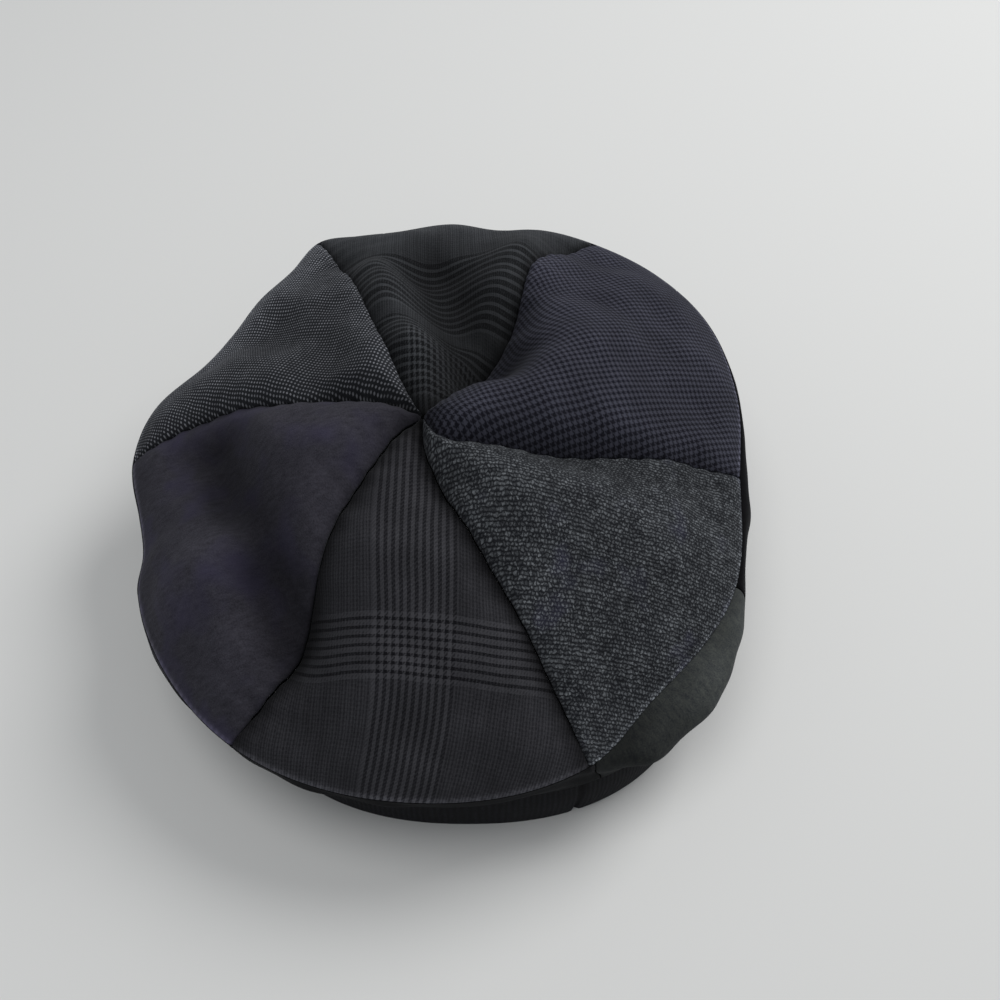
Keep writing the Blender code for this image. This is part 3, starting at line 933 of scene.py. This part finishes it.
def napped(low, high, spread=0.30, patchy=0.10, dye=None):
    """A plain cloth whose nap clouds its colour along the warp, with patches of another dye."""
    def make(tree):
        places, x, y = cloth_places(tree)
        pressed = add(tree, "Math DIVIDE", y, NAP_STREAK)
        cloud = clouds(tree, add(tree, "CombineXYZ", x, pressed), NAP_CLOUD_MM, 3.0)
        fine = clouds(tree, places, NAP_FINE_MM)
        tone = add(tree, "Math ADD", cloud, fine)
        tone = add(tree, "MapRange", tone, 1 - spread, 1 + spread, *WHOLE)
        colour = dyed(tree, tone, low, high)
        if dye:
            dye_share = clouds(tree, places, DYE_MM, 2.0, 0.0, DYE_SHARE, DYE_SPAN)
            colour = dyed(tree, dye_share, colour, dye)
        wool(tree, worn_and_painted_light(tree, colour, places, 1 - patchy, 1 + patchy), fine, places)
    return make


# soft and dusty, with a violet cast that comes and goes
CLOTHS["gore_left_flannel"] = new_cloth("napped_wool_flannel_violet",
                                        napped("222127", "3e3d45", spread=0.45, patchy=0.06, dye="343145"))
# the palest of the plain cloths, a mottled grey-green
CLOTHS["side_front_green"] = new_cloth("napped_wool_grey_green", napped("2e3134", "494c49", patchy=0.20))
# so dark that only the nap tells it from a hole
CLOTHS["side_right_black"] = new_cloth("napped_wool_black", napped("060607", "0e0e11"))
CLOTHS["side_front_left"] = new_cloth("napped_wool_black_side", napped("060607", "0e0e11"))
# a quiet dark grey for the pieces at the back
CHARCOAL = new_cloth("napped_wool_charcoal", napped("1a1a1e", "29292f"))

# %% [markdown]
# ## Ribbed band cloth
# The headband is black wool with fine upright ribs 1.9 mm apart. They hardly differ in colour,
# and show where light rakes over them. At a tenth of a millimetre deep, a bump does as well as
# modelled ribs.

# %% Ribbed band cloth
RIB_MM = 1.9
RIB_CLOUD_MM = 3.5


def ribbed(tree):
    """Black ribs with a grey bloom on their crests: a dull, close cloth that drinks the light."""
    places, x, _ = cloth_places(tree)
    rib = add(tree, "MapRange", wave(tree, x, RIB_MM, "SINE"), -1.0, 1.0, *WHOLE)
    cloud = clouds(tree, places, RIB_CLOUD_MM, 3.0, *WHOLE, NOISE_SPAN)
    tone = add(tree, "Math MULTIPLY", rib, cloud)
    colour = worn_and_painted_light(tree, dyed(tree, tone, "050506", "17171c"), places, 0.8, 1.25)
    wool(tree, colour, rib, places, relief=0.00020)


CLOTHS["headband"] = new_cloth("woven_ribbed_wool_black", ribbed)
print(len(CLOTHS) + 1, "cloths")

# %% [markdown]
# ## The six panels
# Each panel is laid out from the hub to the widest edge, with more points near its seams, where
# it bends most. Its flat place is the distance walked over the cloth from the hub, split along
# and across the warp's direction. An unwrap by the editor would turn each panel as it likes.

# %% Panels
ACROSS, ALONG = 97, 121
HUB_OPENING = 0.006  # share of the reach where the panels begin, as they can't all meet
HUB_END = 0.9985
CROWDED_OUT = 0.35  # how much closer the rows lie towards the edge
CROWDED_ACROSS = 1.35  # and the columns towards the seams
SEAM_MARGIN = 0.00015


def build_panel(gore):
    node, warp_deg = gore[0], gore[5]
    ramp = np.linspace(0, 1, ALONG)
    shares = HUB_OPENING + (HUB_END - HUB_OPENING) * (ramp + CROWDED_OUT * ramp * (1 - ramp))
    spread = np.linspace(-1, 1, ACROSS)
    spread = 0.5 + 0.5 * np.sign(spread) * (1 - (1 - np.abs(spread)) ** CROWDED_ACROSS)
    across, share = np.meshgrid(spread, shares, indexing="ij")
    margin = SEAM_MARGIN / (CROWN_REACH * share)
    outer, direction, painted_light_and_wear = crown_points(gore, margin + (1 - 2 * margin) * across, share)
    steps = np.linalg.norm(np.diff(outer, axis=1), axis=2)
    walked = np.concatenate([np.full((ACROSS, 1), HUB_OPENING * CROWN_REACH), steps], axis=1).cumsum(axis=1)
    turn = np.radians(direction - warp_deg)
    flat = np.stack([walked * np.sin(turn), walked * np.cos(turn)], axis=-1)
    return cloth_body(node + "_cloth", outer, core_way(outer), flat, painted_light_and_wear)


for gore in GORES:
    dress(build_panel(gore), gore[0], CLOTHS[gore[0]])

# %% [markdown]
# ## The side
# The side pieces start where the panels' edge turns under, stand out a little at the front
# right, and run in to the band. At the top the cloth's thickness points as the panels' does, so
# that the two meet, and lower down it follows the piece's own slope. The slack cloth ripples.

# %% Side pieces
AROUND, DOWN = 73, 49
SIDE_MARGIN_DEG = 0.15
SLOPE_STEP_DEG, SLOPE_STEP = 0.5, 0.01
OWN_SLOPE_BY = 0.3  # share of the way down by which the thickness follows the slope
SIDE_RIPPLE = 0.9
# painted shade where the side is tucked in under the panels' roll at its top and against the band at its
# foot
TUCKED_SHADE_TONE, EDGE_SHARE_TOP, EDGE_SHARE_FOOT = 0.75, 0.2, 0.25
TONE_START, TONE_LENGTH = 0.10, 0.60
SIDE_END_SHADES = {
    # node: painted shade, as a tone of its cloth, at its first direction and at its last
    "side_front_green": (0.36, 1.12),
    "side_front_left": (0.60, 0.45),
}


def side_painted_shade(name, along, share):
    """Painted shade: darker where the piece is tucked in at its top and foot, and changing from one end to
    the other.
    """
    open_share = ease(share / EDGE_SHARE_TOP) * (1 - ease((share - 1 + EDGE_SHARE_FOOT) / EDGE_SHARE_FOOT))
    first_tone, last_tone = SIDE_END_SHADES.get(name, (1.0, 1.0))
    end_tone = first_tone + (last_tone - first_tone) * ease((along - TONE_START) / TONE_LENGTH)
    return (TUCKED_SHADE_TONE + (1 - TUCKED_SHADE_TONE) * open_share) * end_tone


def build_side(name, first, last):
    around, share = np.meshgrid(np.linspace(first + SIDE_MARGIN_DEG, last - SIDE_MARGIN_DEG, AROUND),
                                np.linspace(0, 1, DOWN), indexing="ij")
    outer = side_points(around, share)
    sideways = side_points(around + SLOPE_STEP_DEG, share) - side_points(around - SLOPE_STEP_DEG, share)
    downward = (side_points(around, np.minimum(share + SLOPE_STEP, 1))
                - side_points(around, np.maximum(share - SLOPE_STEP, 0)))
    own = unit(np.cross(downward, sideways))
    weight = ease(share / OWN_SLOPE_BY)[..., None]
    ways = unit(core_way(hem_points(around)) * (1 - weight) + own * weight)
    slack = SIDE_RIPPLE * np.sin(math.pi * share) ** 2
    loose = slack * ripple(outer[..., 0] + outer[..., 2], outer[..., 1])
    outer = outer + own * loose[..., None]
    steps = np.linalg.norm(np.diff(outer, axis=1), axis=2)
    walked = np.concatenate([np.zeros((AROUND, 1)), steps], axis=1).cumsum(axis=1)
    flat = np.stack([np.radians(around) * CROWN_REACH, walked], axis=-1)
    painted_light_and_wear = side_painted_shade(name, (around - first) / (last - first), share)
    return cloth_body(name + "_cloth", outer, ways, flat, painted_light_and_wear)


for name, first, last in SIDES:
    dress(build_side(name, first, last), name, CLOTHS.get(name, CHARCOAL))

# %% [markdown]
# ## The headband
# A doubled strip of black wool, closed in a loop with one upright seam at the front right. Its
# outer face swells a little between its two edges. The strip is laid out like the other cloths,
# and then its two ends are joined: the walls at the ends go, and the points there are merged.

# %% Headband
BAND_COLUMNS, BAND_ROWS = 361, 19
BAND_SEAM_DEG = -67.0
BAND_SEAM_WIDTH_DEG = 0.7
BAND_SEAM_DEPTH = 0.0014
BAND_SWELL = 0.0008
BAND_WAVE, BAND_WAVES = 0.0005, 5
BAND_INSET = 0.0006
BAND_WALL_SHARE = 0.8
BAND_MEAN_RADIUS = 0.092  # gives the strip's length for its flat pattern
BAND_SEAM_DARK = 0.6
BAND_RIM_PALE, BAND_RIM_SHARE = 0.5, 0.05
JOIN_WITHIN = 1e-6


def join_ends(piece):
    mesh = bmesh.new()
    mesh.from_mesh(piece.data)
    ends = [face for face in mesh.faces
            if abs(face.normal.y) > 0.9 and abs(face.calc_center_median().y - BAND_Y) < JOIN_WITHIN]
    bmesh.ops.delete(mesh, geom=ends, context="FACES")
    bmesh.ops.remove_doubles(mesh, verts=mesh.verts, dist=JOIN_WITHIN)
    bmesh.ops.recalc_face_normals(mesh, faces=mesh.faces)
    mesh.to_mesh(piece.data)
    mesh.free()
    print("joined", len(ends), "end faces")


def build_band():
    angle, share = np.meshgrid(np.linspace(0, 2 * math.pi, BAND_COLUMNS), np.linspace(0, 1, BAND_ROWS),
                               indexing="ij")
    belly = np.sin(math.pi * share)
    gap = (np.degrees(angle) - BAND_SEAM_DEG + 180) % 360 - 180
    seam = nearness(gap, BAND_SEAM_WIDTH_DEG)
    wavy = BAND_WAVE * np.sin(BAND_WAVES * angle + 1) * belly
    out = BAND_SWELL * belly - BAND_SEAM_DEPTH * seam + wavy - BAND_INSET
    outer = band_points(angle, BAND_HEIGHT * share, out)
    ways = stack(np.cos(angle), np.sin(angle), 0.0)
    flat = np.stack([angle * BAND_MEAN_RADIUS, share * BAND_HEIGHT], axis=-1)
    painted_light_and_wear = (1 - BAND_SEAM_DARK * seam) * (1 + BAND_RIM_PALE * nearness(share, BAND_RIM_SHARE))
    piece = cloth_body("headband_cloth", outer, ways, flat, painted_light_and_wear, BAND_WALL * BAND_WALL_SHARE)
    join_ends(piece)
    return piece


dress(build_band(), "headband", CLOTHS["headband"])

# %% [markdown]
# ## Floor
# The cap rests on a pale, matt surface. One large square is enough, because it reaches past the
# picture on every side, and its rough finish keeps it free of mirror images.

# %% Floor
FLOOR_HALF = 3.0


def build_floor():
    bm = bmesh.new()
    bmesh.ops.create_grid(bm, x_segments=1, y_segments=1, size=FLOOR_HALF)
    floor = into_scene(bm, "floor")
    # uncoated paper: flat, and a very light neutral grey
    material = bpy.data.materials.new("uncoated_paper_pale")
    material.use_nodes = True
    shader = material.node_tree.nodes["Principled BSDF"]
    shader.inputs["Base Color"].default_value = screen("d9dad9")
    shader.inputs["Roughness"].default_value = 0.8
    floor.data.materials.append(material)


build_floor()

# %% [markdown]
# ## Light
# The cap was seen in a bright room: a wide window to the right and a little behind, light from
# the ceiling, and pale walls all round. Large discs give soft shadows. A picture of a room would
# give more variety, but dark matt wool shows none of it.

# %% Light
LIGHT_AIM = (0.0, 0.0, 0.07)
WARM_WHITE = (1.0, 0.99, 0.98)
ROOM_COLOUR, ROOM_STRENGTH = (0.93, 0.96, 1.0, 1.0), 0.285
LIGHTS = [
    # name, place, diameter, watts
    ("window", (1.10, 0.85, 1.40), 1.1, 22.0),
    ("ceiling", (-0.3, -0.1, 1.9), 1.2, 11.5),
]


def add_light(name, place, size, power):
    data = bpy.data.lights.new(name, "AREA")
    data.shape = "DISK"
    data.size = size
    data.energy = power
    data.color = WARM_WHITE
    light = bpy.data.objects.new(name, data)
    light.location = place
    light.rotation_euler = (Vector(LIGHT_AIM) - Vector(place)).to_track_quat("-Z", "Y").to_euler()
    bpy.context.scene.collection.objects.link(light)
    print(name, power, "W")


for row in LIGHTS:
    add_light(*row)
world = bpy.data.worlds.new("room")
world.use_nodes = True
background = world.node_tree.nodes["Background"]
background.inputs["Color"].default_value = ROOM_COLOUR
background.inputs["Strength"].default_value = ROOM_STRENGTH
bpy.context.scene.world = world
bpy.context.scene.view_settings.view_transform = "Standard"

# %% [markdown]
# ## Camera
# The camera stands where the photograph was taken from: about 0.41 m off, looking 56 degrees
# down. So close, the near edge of the crown looks clearly larger than the far one. The small
# shift moves the cap left of the middle, where it stood, without turning the camera.

# %% Camera
CAMERA_DISTANCE = 0.4135
CAMERA_DOWN_DEG = 56.0
LENS_MM, SENSOR_MM = 36.0, 36.0
LENS_SHIFT = 0.0275
AIM = Vector((BAND_X + 0.0020, BAND_Y + 0.0315, 0.0669))
camera_data = bpy.data.cameras.new("camera")
camera_data.lens = LENS_MM
camera_data.sensor_width = SENSOR_MM
camera_data.shift_x = LENS_SHIFT
camera = bpy.data.objects.new("camera", camera_data)
down = math.radians(CAMERA_DOWN_DEG)
camera.location = AIM + CAMERA_DISTANCE * Vector((0.0, -math.cos(down), math.sin(down)))
camera.rotation_euler = (math.radians(90.0) - down, 0.0, 0.0)
bpy.context.scene.collection.objects.link(camera)
bpy.context.scene.camera = camera
print("camera", [round(part, 4) for part in camera.location])
